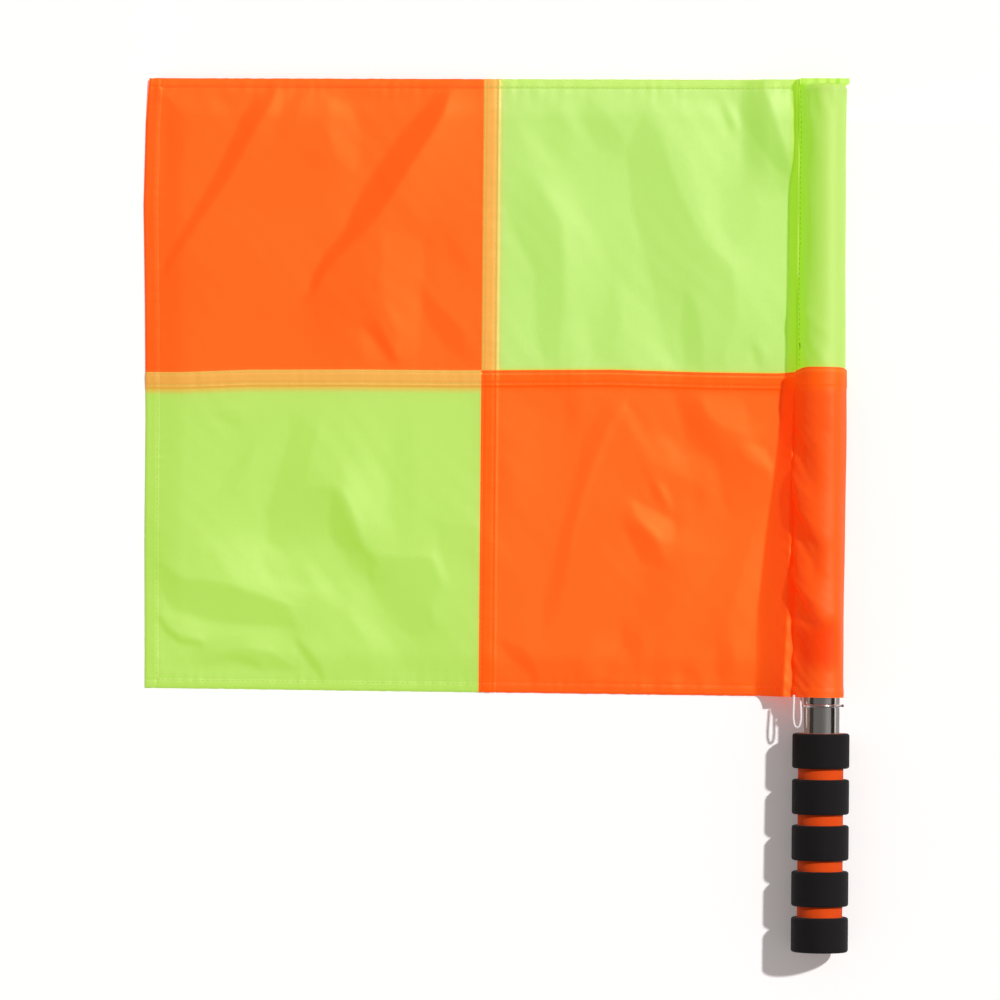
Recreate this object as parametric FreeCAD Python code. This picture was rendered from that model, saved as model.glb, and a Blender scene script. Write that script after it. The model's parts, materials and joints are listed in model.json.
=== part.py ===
"""A linesman flag, laid out flat on a level surface.

A thin steel tube carries a foam grip at its lower end and a quartered cloth flag on the rest.
Lengths are in millimetres. The pieces are modelled in the pole's frame: X runs to the right with
zero on the pole's axis, Y runs along the pole to its tip with zero at the cloth's bottom edge, and
Z is up with zero on the axis. The pole leans on its grip and its tip, so the finished pieces are
tipped until the surface below them is level, and then centred over the origin.
"""

import FreeCAD
import Part
import math
import os

Vector = FreeCAD.Vector

# Pole
tube_diameter = 22.0
tube_wall = 0.6
bare_tube_length = 22.7
tip_below_top_edge = 5.0
plug_head_thickness = 2.0
plug_stem_length = 14.0
press_clearance = 0.02
running_clearance = 0.08

# Grip
grip_ring_count = 5
grip_ring_diameter = 34.0
grip_ring_length = 20.8
grip_groove_length = 6.5
grip_ring_edge_radius = 1.5
grip_core_diameter = 27.0

# Stop ring
stop_wire_diameter = 1.6
stop_groove_floor = 0.2
stop_side_clearance = 0.3
stop_below_sleeve = 6.2

# Cloth
flag_length = 417.0
flag_height = 366.5
fly_panel_length = 200.7
upper_panel_height = 175.0
cloth_thickness = 0.4
seam_width = 9.0
hem_width = 5.5
lap_ramp = 1.5
lap_clearance = 0.05
fold_sample_length = 16.0
straight_within = 0.02

# Sleeve
sleeve_wall = 1.2
upper_stitch_gap = 2.9
lower_stitch_gap = 6.6
sleeve_hem_width = 5.0
sleeve_end_clearance = 0.3
end_hem_half_thickness = 1.6
end_hem_overhang = 1.5
upper_slope_width = 7.0
lower_slope_width = 20.0
slope_margin = 6.0
slope_spans = 4

# Elastic loop. Its route starts and ends on the sleeve's bottom edge.
elastic_diameter = 1.2
elastic_route = [
    (-12.8, 0.0, 4.7),
    (-12.8, -6.1, 4.7),
    (-12.4, -12.4, 5.0),
    (-13.1, -16.9, 4.5),
    (-14.6, -18.9, 3.3),
    (-16.2, -17.5, 2.1),
    (-16.8, -12.9, 1.5),
    (-16.3, -6.2, 1.9),
    (-16.3, 0.0, 1.9),
]
elastic_bend_share = 0.45

# Main folds of the cloth. Each has the two ends of its crest, as shares of the flat cloth's length
# from the fly edge and of its height from the bottom edge, then its height and half its width.
folds = [
    ((0.20, 0.98), (0.05, 0.70), 3.5, 16.0),
    ((0.44, 0.98), (0.26, 0.66), 5.0, 20.0),
    ((0.68, 0.99), (0.65, 0.66), 3.0, 22.0),
    ((0.84, 0.99), (0.91, 0.86), 3.0, 10.0),
    ((0.23, 0.33), (0.36, 0.12), 4.0, 15.0),
    ((0.06, 0.09), (0.27, 0.06), 3.0, 14.0),
    ((0.66, 0.44), (0.58, 0.14), 3.0, 18.0),
    ((0.79, 0.38), (0.77, 0.06), 3.0, 18.0),
]

# Sizes that follow
tube_radius = tube_diameter / 2
tube_bore_radius = tube_radius - tube_wall
stop_groove_radius = tube_bore_radius + stop_groove_floor
grip_ring_radius = grip_ring_diameter / 2
grip_core_radius = grip_core_diameter / 2
grip_step = grip_ring_length + grip_groove_length
grip_length = grip_ring_count * grip_step - grip_groove_length
grip_top_y = -bare_tube_length
grip_butt_y = grip_top_y - grip_length
tip_y = flag_height - tip_below_top_edge

sleeve_bore_radius = tube_radius + running_clearance
upper_stitch_distance = sleeve_bore_radius + upper_stitch_gap
lower_stitch_distance = sleeve_bore_radius + lower_stitch_gap
sleeve_radius = sleeve_bore_radius + sleeve_wall
sleeve_hem_radius = sleeve_radius + cloth_thickness
sleeve_end_y = tip_y + sleeve_end_clearance

fly_x = sleeve_radius - flag_length
seam_x = fly_x + fly_panel_length
seam_y = flag_height - upper_panel_height
lap_x = seam_x + seam_width
lap_y = seam_y - seam_width
lap_step = cloth_thickness + lap_clearance

# The surface below the pole, which rests on the first grip ring and on the sleeve's tip end
grip_rest_y = grip_top_y - grip_ring_edge_radius
surface_climb = (grip_ring_radius - sleeve_radius) / (tip_y - grip_rest_y)
pole_tilt = math.degrees(math.atan(surface_climb))


def surface_z(y):
    """Height of the level surface below the pole's axis, at one place along the pole."""
    return -grip_ring_radius + (y - grip_rest_y) * surface_climb


# Pole pieces


def rod(radius, low_y, high_y):
    return Part.makeCylinder(radius, high_y - low_y, Vector(0, low_y, 0), Vector(0, 1, 0))


def sleeve_tube(radius, bore_radius, low_y, high_y):
    return rod(radius, low_y, high_y).cut(rod(bore_radius, low_y, high_y))


def make_pole_tube():
    tube = sleeve_tube(
        tube_radius,
        tube_bore_radius,
        grip_butt_y + plug_head_thickness,
        tip_y - plug_head_thickness,
    )
    half_groove = stop_wire_diameter / 2 + stop_side_clearance
    groove = sleeve_tube(
        tube_radius + stop_wire_diameter,
        stop_groove_radius,
        -stop_below_sleeve - half_groove,
        -stop_below_sleeve + half_groove,
    )
    return tube.cut(groove)


def make_plug(end_y, outward):
    """A plug whose head closes the tube at end_y; outward is the way its head faces along Y."""
    seat_y = end_y - outward * plug_head_thickness
    stem_end_y = seat_y - outward * plug_stem_length
    stem_radius = tube_bore_radius - press_clearance
    head = rod(tube_radius, min(seat_y, end_y), max(seat_y, end_y))
    stem = rod(stem_radius, min(stem_end_y, seat_y), max(stem_end_y, seat_y))
    return head.fuse(stem).removeSplitter()


def make_grip_core():
    return sleeve_tube(grip_core_radius, tube_radius + press_clearance, grip_butt_y, grip_top_y)


def make_grip_ring(index):
    """Rings are counted from the flag's end of the grip."""
    high_y = grip_top_y - index * grip_step
    low_y = high_y - grip_ring_length
    outside = rod(grip_ring_radius, low_y, high_y)
    rims = [edge for edge in outside.Edges if isinstance(edge.Curve, Part.Circle)]
    outside = outside.makeFillet(grip_ring_edge_radius, rims)
    return outside.cut(rod(grip_core_radius + press_clearance, low_y, high_y))


def make_stop_ring():
    wire_radius = stop_wire_diameter / 2
    turn_radius = stop_groove_radius + running_clearance + wire_radius
    centre = Vector(0, -stop_below_sleeve, 0)
    return Part.makeTorus(turn_radius, wire_radius, centre, Vector(0, 1, 0))


# Sleeve pieces


def line(start, end):
    return Part.LineSegment(start, end).toShape()


def half_turn_arc(radius, start_angle, y):
    """An arc round the axis from start_angle, measured from +X towards +Z, down or up to +X."""
    angles = (start_angle, start_angle / 2, 0.0)
    points = [Vector(radius * math.cos(a), y, radius * math.sin(a)) for a in angles]
    return Part.Arc(*points).toShape()


def tail_x(stitch_distance):
    """Where the sleeve's outside has narrowed to the cloth's thickness, left of the stitching."""
    point_x = -stitch_distance * sleeve_radius / sleeve_bore_radius
    slope = math.tan(math.asin(sleeve_bore_radius / stitch_distance))
    return point_x + cloth_thickness / 2 / slope


def teardrop(stitch_distance, radius, y, end_x=None):
    """The closed outline of cloth drawn from the stitching round a pole of this radius."""
    half_angle = math.asin(sleeve_bore_radius / stitch_distance)
    point_x = -stitch_distance * radius / sleeve_bore_radius
    touch = math.pi / 2 + half_angle
    over = Vector(radius * math.cos(touch), y, radius * math.sin(touch))
    under = Vector(over.x, y, -over.z)
    upper_arc = half_turn_arc(radius, touch, y)
    lower_arc = half_turn_arc(radius, -touch, y)
    if end_x is None:
        point = Vector(point_x, y, 0)
        return Part.Wire([line(point, over), upper_arc, lower_arc, line(under, point)])
    end_z = (end_x - point_x) * math.tan(half_angle)
    top = Vector(end_x, y, end_z)
    bottom = Vector(end_x, y, -end_z)
    return Part.Wire(
        [line(top, over), upper_arc, lower_arc, line(under, bottom), line(bottom, top)]
    )


def sleeve_run(stitch_distance, radius, low_y, high_y):
    outside = Part.Face(teardrop(stitch_distance, radius, low_y, tail_x(stitch_distance)))
    inside = Part.Face(teardrop(stitch_distance, sleeve_bore_radius, low_y))
    return outside.cut(inside).extrude(Vector(0, high_y - low_y, 0))


def make_upper_sleeve():
    return sleeve_run(upper_stitch_distance, sleeve_radius, seam_y, sleeve_end_y)


def make_lower_sleeve():
    run = sleeve_run(lower_stitch_distance, sleeve_radius, sleeve_hem_width, seam_y)
    hem = sleeve_run(lower_stitch_distance, sleeve_hem_radius, 0, sleeve_hem_width)
    return run.fuse(hem)


def make_sleeve_end_hem():
    """The sleeve's end, drawn flat and stitched shut beyond the tube's tip."""
    end_x = tail_x(upper_stitch_distance)
    open_end = teardrop(upper_stitch_distance, sleeve_radius, sleeve_end_y, end_x)
    shoulder_x = end_x / 2
    far_x = sleeve_radius + end_hem_overhang
    top = Vector(end_x, flag_height, cloth_thickness / 2)
    bottom = Vector(end_x, flag_height, -cloth_thickness / 2)
    over = Vector(shoulder_x, flag_height, end_hem_half_thickness)
    under = Vector(shoulder_x, flag_height, -end_hem_half_thickness)
    far = Vector(far_x, flag_height, 0)
    bend_x = (shoulder_x + far_x) / 2
    upper_bend = Vector(bend_x, flag_height, end_hem_half_thickness)
    lower_bend = Vector(bend_x, flag_height, -end_hem_half_thickness)
    shut_end = Part.Wire(
        [
            line(top, over),
            Part.Arc(over, upper_bend, far).toShape(),
            Part.Arc(far, lower_bend, under).toShape(),
            line(under, bottom),
            line(bottom, top),
        ]
    )
    return Part.makeLoft([open_end, shut_end], True, True)


def make_elastic_loop():
    """Straight runs joined by tangent arcs, with a round section."""
    points = [Vector(*place) for place in elastic_route]
    edges = []
    start = points[0]
    for before, corner, after in zip(points, points[1:], points[2:]):
        run_in = before - corner
        run_out = after - corner
        turn = math.pi - run_in.getAngle(run_out)
        reach = elastic_bend_share * min(run_in.Length, run_out.Length)
        radius = reach / math.tan(turn / 2)
        into = corner + run_in.normalize() * reach
        out = corner + run_out.normalize() * reach
        middle_way = (run_in + run_out).normalize()
        middle = corner + middle_way * (radius / math.cos(turn / 2) - radius)
        edges += [line(start, into), Part.Arc(into, middle, out).toShape()]
        start = out
        print(f"elastic bend of {math.degrees(turn):.0f} degrees, radius {radius:.1f} mm")
    edges.append(line(start, points[-1]))
    path = Part.Wire(edges)
    rim = Part.makeCircle(elastic_diameter / 2, points[0], points[1] - points[0])
    loop = path.makePipeShell([Part.Wire(rim)], True, True)
    expected = math.pi * elastic_diameter**2 / 4 * path.Length
    print(f"elastic loop {path.Length:.1f} mm long, volume {loop.Volume / expected:.3f} of its section")
    return loop


# Cloth panels


def smooth(share):
    """Rises from 0 to 1 with level ends."""
    share = min(max(share, 0.0), 1.0)
    return share * share * (3.0 - 2.0 * share)


def fold_height(x, y):
    """How far the folds lift the cloth off the surface."""
    lift = 0.0
    for start_shares, end_shares, height, half_width in folds:
        start = Vector(fly_x + start_shares[0] * flag_length, start_shares[1] * flag_height, 0)
        end = Vector(fly_x + end_shares[0] * flag_length, end_shares[1] * flag_height, 0)
        along = end - start
        place = Vector(x, y, 0) - start
        share = min(max(place.dot(along) / along.dot(along), 0.0), 1.0)
        off = (place - along * share).Length
        lift += height * math.exp(-((off / half_width) ** 2))
    return lift


def slope_width(y):
    """The cloth drops from the sleeve to the surface more steeply near the tip."""
    return lower_slope_width + (upper_slope_width - lower_slope_width) * y / flag_height


def cover(place, low, high):
    """1 over a piece of cloth below, falling to 0 within one ramp of its edge."""
    outside = max(low - place, place - high, 0.0)
    return max(1.0 - outside / lap_ramp, 0.0)


def hem_layers(x, y):
    """Two layers in the turned hems, one elsewhere."""
    from_edge = min(x - fly_x, y, flag_height - y)
    return 1.0 + min(max((hem_width + lap_ramp - from_edge) / lap_ramp, 0.0), 1.0)


upper_end_x = tail_x(upper_stitch_distance)
lower_end_x = tail_x(lower_stitch_distance)
flat_end_x = lower_end_x - lower_slope_width - slope_margin

# Each panel's hoist end and flat extent, lowest first, because each laps over those before it
panel_extents = {
    "upper_fly_panel": (upper_end_x, (fly_x, lap_x), (lap_y, flag_height)),
    "upper_hoist_panel": (upper_end_x, (seam_x, flat_end_x), (lap_y, flag_height)),
    "lower_fly_panel": (lower_end_x, (fly_x, lap_x), (0.0, seam_y)),
    "lower_hoist_panel": (lower_end_x, (seam_x, flat_end_x), (0.0, seam_y)),
}


def underside_z(name, x, y):
    """Height of a panel's lower face: on the surface, over folds and laps, then up to the sleeve."""
    end_x, _, _ = panel_extents[name]
    laps = 0.0
    for other, (_, across, along) in panel_extents.items():
        if other == name:
            break
        laps += cover(x, *across) * cover(y, *along) * hem_layers(x, y)
    climb = smooth((x - end_x) / slope_width(y) + 1.0)
    lying = surface_z(y) + fold_height(x, y) + laps * lap_step
    return lying * (1.0 - climb) - cloth_thickness / 2 * climb


def spread(low, high, count):
    return [low + (high - low) * i / count for i in range(count + 1)]


def even_count(length):
    """How many spans of about the sampled length fit, always an even number."""
    return 2 * max(1, round(length / fold_sample_length / 2))


def columns(name, y):
    """Stretches of places across a panel at one height, and whether each stretch is curved."""
    end_x, (low_x, _), _ = panel_extents[name]
    if low_x == fly_x:
        hem_x = fly_x + hem_width
        low, high = hem_x + lap_ramp, seam_x - lap_ramp
        return [
            ([fly_x, hem_x, low], False),
            (spread(low, high, even_count(high - low)), True),
            ([high, seam_x, lap_x], False),
        ]
    low = lap_x + lap_ramp
    slope_x = end_x - slope_width(y)
    return [
        ([seam_x, lap_x, low], False),
        (spread(low, flat_end_x, even_count(flat_end_x - low)), True),
        ([flat_end_x, slope_x], False),
        (spread(slope_x, end_x, slope_spans), True),
    ]


def rows(name):
    """Places along a panel where its sections stand."""
    _, _, (low_y, high_y) = panel_extents[name]
    if low_y == lap_y:
        low, high = seam_y + lap_ramp, flag_height - hem_width - lap_ramp
        middle = spread(low, high, even_count(high - low))
        return [lap_y, seam_y] + middle + [flag_height - hem_width, flag_height]
    low, high = hem_width + lap_ramp, lap_y - lap_ramp
    middle = spread(low, high, even_count(high - low))
    return [0.0, hem_width] + middle + [lap_y, seam_y]


def chain(points, curved):
    """Edges through the points: arcs over each pair of spans where curved, otherwise lines."""
    if not curved:
        return [line(a, b) for a, b in zip(points, points[1:])]
    edges = []
    for a, b, c in zip(points[::2], points[1::2], points[2::2]):
        bow = ((b - a).cross(c - a)).Length / (c - a).Length
        straight = bow < straight_within
        edges.append(line(a, c) if straight else Part.Arc(a, b, c).toShape())
    return edges


def panel_section(name, y):
    """A panel's closed outline across the flag at one height."""
    lower, upper, below_ends, above_ends = [], [], [], []
    for places, curved in columns(name, y):
        below = [Vector(x, y, underside_z(name, x, y)) for x in places]
        above = [p + Vector(0, 0, cloth_thickness * hem_layers(p.x, y)) for p in below]
        lower += chain(below, curved)
        upper += chain(above, curved)
        below_ends += [below[0], below[-1]]
        above_ends += [above[0], above[-1]]
    first_side = line(above_ends[0], below_ends[0])
    last_side = line(below_ends[-1], above_ends[-1])
    return Part.Wire([first_side] + lower + [last_side] + upper[::-1])


def make_panel(name):
    return Part.makeLoft([panel_section(name, y) for y in rows(name)], True, True)


def make_upper_hoist_panel():
    """Its lap under the lower panel stops short of the slope up to the sleeve."""
    corner = Vector(flat_end_x, lap_y - seam_width, -grip_ring_diameter)
    trim = Part.makeBox(-flat_end_x, 2 * seam_width, 2 * grip_ring_diameter, corner)
    return make_panel("upper_hoist_panel").cut(trim)


# Assembly

pieces = {
    "pole_tube": make_pole_tube(),
    "tip_plug": make_plug(tip_y, 1),
    "butt_plug": make_plug(grip_butt_y, -1),
    "grip_core": make_grip_core(),
    "stop_ring": make_stop_ring(),
    "upper_fly_panel": make_panel("upper_fly_panel"),
    "upper_hoist_panel": make_upper_hoist_panel(),
    "lower_fly_panel": make_panel("lower_fly_panel"),
    "lower_hoist_panel": make_panel("lower_hoist_panel"),
    "upper_sleeve": make_upper_sleeve(),
    "lower_sleeve": make_lower_sleeve(),
    "sleeve_end_hem": make_sleeve_end_hem(),
    "elastic_loop": make_elastic_loop(),
}
for ring_index in range(grip_ring_count):
    pieces[f"grip_ring_{ring_index + 1}"] = make_grip_ring(ring_index)

# Tip everything until the surface is level, then centre it over the origin
hinge_point = Vector(0, grip_rest_y, -grip_ring_radius)
for piece in pieces.values():
    piece.rotate(hinge_point, Vector(1, 0, 0), -pole_tilt)
body_box = Part.makeCompound(
    [piece for name, piece in pieces.items() if name != "elastic_loop"]
).optimalBoundingBox(False)
to_origin = Vector(-body_box.Center.x, -body_box.Center.y, grip_ring_radius)

os.makedirs("parts", exist_ok=True)
for name, piece in pieces.items():
    piece.translate(to_origin)
    piece.exportStep(f"parts/{name}.step")
    print(f"{name}: {len(piece.Solids)} solid, valid {piece.isValid()}, {piece.Volume:.0f} mm3")


def placed(y, z=0.0):
    """A point of the pole's middle plane, in the finished part's frame."""
    turn = FreeCAD.Rotation(Vector(1, 0, 0), -pole_tilt)
    return hinge_point + turn.multVec(Vector(0, y, z) - hinge_point) + to_origin


pole_direction = FreeCAD.Rotation(Vector(1, 0, 0), -pole_tilt).multVec(Vector(0, 1, 0))
print("pole direction", pole_direction)
print("stop ring centre", placed(-stop_below_sleeve))
print("grip centre", placed((grip_top_y + grip_butt_y) / 2), "length", grip_length)
print("butt face centre", placed(grip_butt_y))
print("overall box", body_box.XLength, body_box.YLength, body_box.ZLength)
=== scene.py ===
"""A linesman flag, laid out flat on a white table and seen from straight above."""

import bpy
import json
import math
import numpy as np
from mathutils import Matrix, Vector


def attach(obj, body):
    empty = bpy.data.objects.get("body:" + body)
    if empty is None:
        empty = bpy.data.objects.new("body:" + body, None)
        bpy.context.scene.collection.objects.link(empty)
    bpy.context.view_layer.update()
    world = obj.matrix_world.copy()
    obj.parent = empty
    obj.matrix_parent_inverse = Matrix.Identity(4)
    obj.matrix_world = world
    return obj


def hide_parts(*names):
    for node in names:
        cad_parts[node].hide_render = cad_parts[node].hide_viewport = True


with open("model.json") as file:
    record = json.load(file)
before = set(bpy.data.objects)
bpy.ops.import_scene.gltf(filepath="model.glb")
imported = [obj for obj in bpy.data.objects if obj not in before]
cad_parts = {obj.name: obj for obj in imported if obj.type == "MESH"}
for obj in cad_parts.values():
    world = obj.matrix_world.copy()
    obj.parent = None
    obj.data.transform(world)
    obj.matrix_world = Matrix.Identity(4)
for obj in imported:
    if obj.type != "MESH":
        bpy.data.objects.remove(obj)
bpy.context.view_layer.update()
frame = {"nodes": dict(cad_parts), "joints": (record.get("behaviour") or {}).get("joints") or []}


# Table. The flag lies on a large white table top. The camera sees it as plain white, and it keeps
# soft shadows. Beyond the flag's top edge it is a step lower: the pole lies a little tipped, so the
# flag comes that far down when it is slid off over the pole's tip.

table_white = (0.9, 0.9, 0.9)
table_lift = 0.13
table_step = 0.0043
table_across = (-5.0, -0.219, -0.2125, -0.2085, 5.0)
table_along = (-5.0, 0.2365, 0.2425, 0.2605, 0.2665, 5.0)
level = (0.0,) * 5
under_hem = (0.0, 0.0, 0.0, -table_step, -table_step)
beyond_hem = (0.0, 0.0, -table_step, -table_step, -table_step)
table_heights = (level, level, under_hem, under_hem, beyond_hem, beyond_hem)
scene = bpy.context.scene


def new_object(name, data):
    """A mesh, a curve, a lamp or a camera, placed in the scene."""
    made = bpy.data.objects.new(name, data)
    scene.collection.objects.link(made)
    return made


def meshed(name, spots, faces):
    """A piece from the places of its corners and the faces between them."""
    mesh = bpy.data.meshes.new(name)
    mesh.from_pydata(spots, [], faces)
    return new_object(name, mesh)


class Wire:
    """A node's output, which takes part in sums as a number does."""

    def __init__(self, finish, socket):
        self.finish = finish
        self.socket = socket

    def __add__(self, other):
        return self.finish.worked("ADD", self, other)

    def __radd__(self, other):
        return self.finish.worked("ADD", other, self)

    def __sub__(self, other):
        return self.finish.worked("SUBTRACT", self, other)

    def __rsub__(self, other):
        return self.finish.worked("SUBTRACT", other, self)

    def __mul__(self, other):
        return self.finish.worked("MULTIPLY", self, other)

    def __rmul__(self, other):
        return self.finish.worked("MULTIPLY", other, self)


class Finish:
    """The nodes of one material or of the world."""

    def __init__(self, owner):
        owner.use_nodes = True
        self.owner = owner
        self.tree = owner.node_tree
        self.tree.nodes.clear()

    def node(self, kind, settings, sockets, output=0):
        """Adds a node, sets its settings first, then gives its sockets their values or links. A
        colour is given as three numbers."""
        node = self.tree.nodes.new(kind)
        for name, value in settings.items():
            setattr(node, name, value)
        for name, value in sockets.items():
            socket = node.inputs[name]
            if isinstance(value, Wire):
                self.tree.links.new(value.socket, socket)
            else:
                socket.default_value = (*value, 1.0) if socket.type == "RGBA" else value
        return Wire(self, node.outputs[output]) if node.outputs else None

    def worked(self, operation, *values):
        """A sum on numbers and on other nodes' outputs."""
        return self.node("ShaderNodeMath", {"operation": operation}, dict(enumerate(values)))

    def axis(self, vector, name):
        """One of the three numbers of a place or of a direction."""
        return self.node("ShaderNodeSeparateXYZ", {}, {0: vector}, output=name)

    def place(self):
        """The piece's Object coordinates."""
        return self.node("ShaderNodeTexCoord", {}, {}, output="Object")

    def noise(self, place, scale, detail):
        """Uneven spots, from 0 to 1."""
        return self.node("ShaderNodeTexNoise", {}, {"Vector": place, "Scale": scale, "Detail": detail})

    def bump(self, height, strength, distance):
        """Relief that is too fine for the mesh."""
        sockets = {"Strength": strength, "Distance": distance, "Height": height}
        return self.node("ShaderNodeBump", {}, sockets)

    def mix(self, factor, first, second):
        """A blend of two colours."""
        settings = {"data_type": "RGBA", "clamp_factor": True}
        return self.node("ShaderNodeMix", settings, {0: factor, 6: first, 7: second}, output=2)

    def slope(self, value, low, high, first, last):
        """Goes from first to last, with level ends, while the value goes from low to high."""
        settings = {"interpolation_type": "SMOOTHSTEP"}
        sockets = {0: value, 1: low, 2: high, 3: first, 4: last}
        return self.node("ShaderNodeMapRange", settings, sockets)

    def ray(self, kind):
        """1 where a ray of this kind arrives, such as the camera's own."""
        return self.node("ShaderNodeLightPath", {}, {}, output=f"Is {kind} Ray")

    def show(self, shader):
        """Makes a shader the surface of this material or world."""
        in_world = isinstance(self.owner, bpy.types.World)
        kind = "ShaderNodeOutputWorld" if in_world else "ShaderNodeOutputMaterial"
        self.node(kind, {}, {"Surface": shader})
        return self.owner

    def surface(self, sockets):
        """Makes a Principled shader the surface of this material."""
        return self.show(self.node("ShaderNodeBsdfPrincipled", {}, sockets))


def new_finish(name):
    return Finish(bpy.data.materials.new(name))


table_spots = [
    (x, y, z) for y, heights in zip(table_along, table_heights) for x, z in zip(table_across, heights)
]
row = len(table_across)
table_faces = [
    (corner, corner + 1, corner + row + 1, corner + row)
    for corner in range(row * (len(table_along) - 1))
    if (corner + 1) % row
]
table = meshed("table", table_spots, table_faces)
finish = new_finish("white_table")
plain = finish.node("ShaderNodeBsdfDiffuse", {}, {"Color": table_white})
glowing = finish.node("ShaderNodeEmission", {}, {"Color": (1.0, 1.0, 1.0), "Strength": table_lift})
lifted = finish.node("ShaderNodeAddShader", {}, {0: plain, 1: glowing})
seen = finish.ray("Camera") + finish.ray("Glossy")
shown = finish.node("ShaderNodeMixShader", {}, {0: seen, 1: plain, 2: lifted})
table.data.materials.append(finish.show(shown))


# Studio light. One large lamp stands to the upper right, half way up, and the room's white walls
# fill the shadows. Dark cards at the sides show only in the polished tube. The brown and grey cards
# beside the tube show only in it too: they are painted reflections, of a shadow and of a greyer table.

lamp_height = math.radians(50.0)
lamp_bearing = math.radians(36.0)
lamp_width = math.radians(2.5)
lamp_strength = 2.9
lamp_colour = (1.0, 0.995, 0.985)
room_light = 0.31
room_colour = (1.0, 0.88, 0.85)
wall_white = (1.0, 1.0, 1.0)
dim_ceiling = (0.15, 0.14, 0.135)
bright_ceiling = (0.31, 0.3, 0.29)
dark_card = (0.04, 0.035, 0.03)
painted_shadow_brown = (0.27, 0.19, 0.16)
painted_reflection_grey = (0.36, 0.36, 0.36)

lamp = new_object("lamp", bpy.data.lights.new("lamp", "SUN"))
lamp.data.energy = lamp_strength
lamp.data.angle = lamp_width
lamp.data.color = lamp_colour
towards_lamp = Vector(
    (
        math.cos(lamp_height) * math.cos(lamp_bearing),
        math.cos(lamp_height) * math.sin(lamp_bearing),
        math.sin(lamp_height),
    )
)
lamp.rotation_euler = towards_lamp.to_track_quat("Z", "Y").to_euler()

scene.world = bpy.data.worlds.new("room")
finish = Finish(scene.world)
direction = finish.node("ShaderNodeTexCoord", {}, {}, output="Generated")
overhead = finish.slope(finish.axis(direction, "Z"), 0.1, 0.4, 0.0, 1.0)
towards_window = finish.slope(finish.axis(direction, "X"), 0.2, 0.7, 0.0, 1.0)
backdrop = finish.mix(overhead, wall_white, finish.mix(towards_window, dim_ceiling, bright_ceiling))
fill = finish.node("ShaderNodeBackground", {}, {"Color": room_colour, "Strength": room_light})
seen_room = finish.node("ShaderNodeBackground", {}, {"Color": backdrop, "Strength": 1.0})
seen = finish.ray("Camera") + finish.ray("Glossy") + finish.ray("Transmission")
finish.show(finish.node("ShaderNodeMixShader", {}, {0: seen, 1: fill, 2: seen_room}))


def mirrored_card(name, place, width, depth, upright, colour):
    """A lying or an upright card that only mirrors show."""
    bpy.ops.object.select_all(action="DESELECT")
    bpy.ops.mesh.primitive_plane_add(size=1.0, location=place)
    card = bpy.context.object
    card.name = name
    bpy.ops.object.mode_set(mode="EDIT")
    bpy.ops.mesh.select_all(action="SELECT")
    bpy.ops.transform.resize(value=(width, depth, 1.0))
    if upright:
        bpy.ops.transform.rotate(value=math.radians(90.0), orient_axis="Y", center_override=place)
    bpy.ops.object.mode_set(mode="OBJECT")
    finish = new_finish(name)
    matte = finish.node("ShaderNodeBsdfDiffuse", {}, {"Color": colour})
    card.data.materials.append(finish.show(matte))
    card.visible_camera = False
    card.visible_diffuse = False
    card.visible_shadow = False
    card.visible_transmission = False


mirrored_card("dark_card_left", (-0.9, 0.0, 0.54), 0.66, 3.0, True, dark_card)
mirrored_card("dark_card_right", (0.9, 0.0, 0.2), 0.4, 3.0, True, dark_card)
# Painted reflections: cards that only the tube mirrors, the brown ones as a shadow on the table and the
# grey one as a greyer table than the white one there.
mirrored_card("brown_card_low", (0.098, -0.132, 0.0015), 0.138, 0.048, False, painted_shadow_brown)
mirrored_card("brown_card_up", (0.029, -0.132, 0.026), 0.05, 0.048, True, painted_shadow_brown)
mirrored_card("grey_card_low", (0.266, -0.132, 0.0015), 0.11, 0.048, False, painted_reflection_grey)

scene.view_settings.view_transform = "Standard"


# Camera. It looks straight down from about three metres up, through a long lens, and is turned a
# little against the table.

camera_place = (0.0016, 0.0077, 3.2)
camera_turn = math.radians(0.5)
camera_lens = 192.5
camera_sensor = 36.0

camera = new_object("camera", bpy.data.cameras.new("camera"))
camera.location = camera_place
camera.rotation_euler = (0.0, 0.0, camera_turn)
camera.data.lens = camera_lens
camera.data.sensor_width = camera_sensor
camera.data.clip_start = 0.05
scene.camera = camera


# Elastic loop. A thin braided cord, sewn with both ends into the sleeve's bottom hem, hangs beside
# the tube. Lengths from here on are in millimetres in the pole's own frame: X is zero on the pole's
# axis, Y is zero at the cloth's bottom edge and Z is zero on the axis.

turn_joint = frame["joints"][0]
stop_below_sleeve = 6.2
millimetre = 0.001
along_pole = Vector(turn_joint["axis"])
up_from_pole = Vector((1.0, 0.0, 0.0)).cross(along_pole)
pole_frame = Matrix(
    (
        (millimetre, along_pole.x * millimetre, up_from_pole.x * millimetre, 0.0),
        (0.0, along_pole.y * millimetre, up_from_pole.y * millimetre, 0.0),
        (0.0, along_pole.z * millimetre, up_from_pole.z * millimetre, 0.0),
        (0.0, 0.0, 0.0, 1.0),
    )
)
pole_frame.translation = Vector(turn_joint["pos_m"]) + along_pole * stop_below_sleeve * millimetre

elastic_diameter = 1.4
strands_along = 380.0
strands_around = 12.566
elastic_shade = (0.82, 0.76, 0.76)
elastic_white = (0.96, 0.92, 0.92)
elastic_route = [
    (-12.6, 0.0, 4.7),
    (-12.5, -6.1, 4.8),
    (-12.1, -12.9, 5.0),
    (-12.7, -17.6, 4.9),
    (-14.5, -19.7, 4.6),
    (-16.3, -17.9, 4.3),
    (-16.9, -12.9, 4.0),
    (-16.6, -6.2, 3.7),
    (-16.5, 0.0, 3.4),
]

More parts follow.
